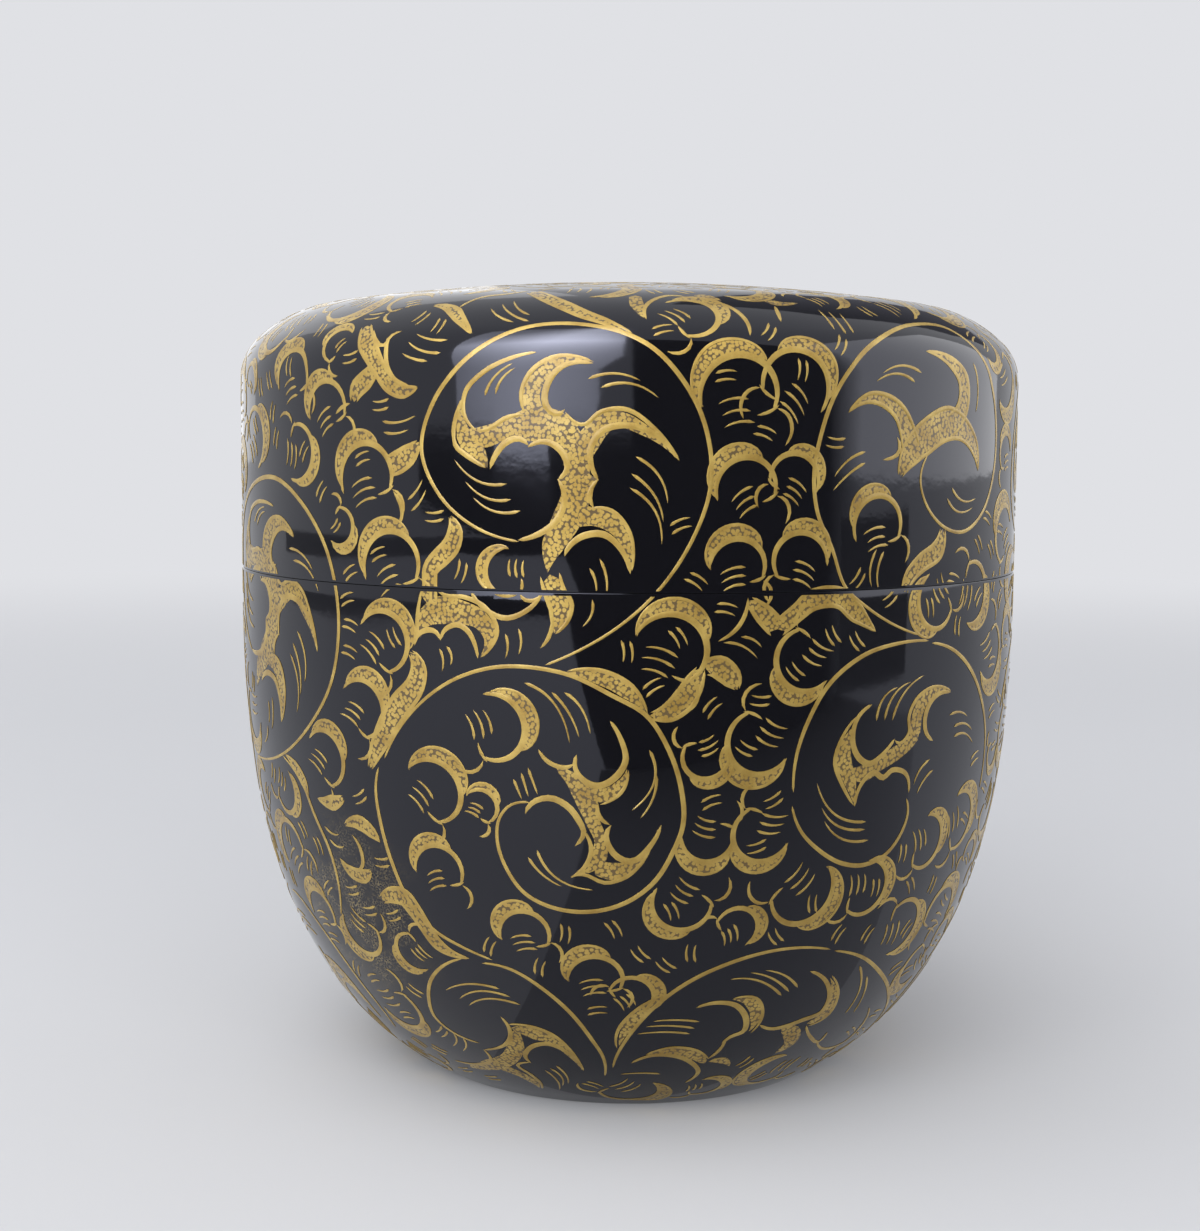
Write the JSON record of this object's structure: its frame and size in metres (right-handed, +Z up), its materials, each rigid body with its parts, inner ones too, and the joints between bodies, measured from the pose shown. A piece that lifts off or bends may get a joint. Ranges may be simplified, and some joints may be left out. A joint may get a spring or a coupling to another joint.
{
  "type": "tea caddy",
  "caption": "Round black lacquer tea caddy with a rounded body, a domed lid that lifts off an inner collar, and an all-over gold scroll pattern.",
  "frame": {"origin": "centre of the foot, on the surface that the caddy stands on", "axes": "+Z up along the turning axis, -Y towards the side that the picture shows, +X to its right"},
  "size_m": [0.066, 0.066, 0.0663],
  "materials": {
    "black_lacquer": "polished black lacquer with sprinkled gold scrolls",
    "lacquered_wood": "turned wood under thin black lacquer"
  },
  "bodies": {
    "body": {"body_core": "lacquered_wood", "body_lacquer": "black_lacquer", "inner_collar": "lacquered_wood"},
    "lid": {"lid_core": "lacquered_wood", "lid_lacquer": "black_lacquer"}
  },
  "joints": [
    {"name": "lid_lift", "type": "slide", "parent": "body", "child": "lid", "axis": [0, 0, 1], "range_m": [0, 0.03]}
  ]
}
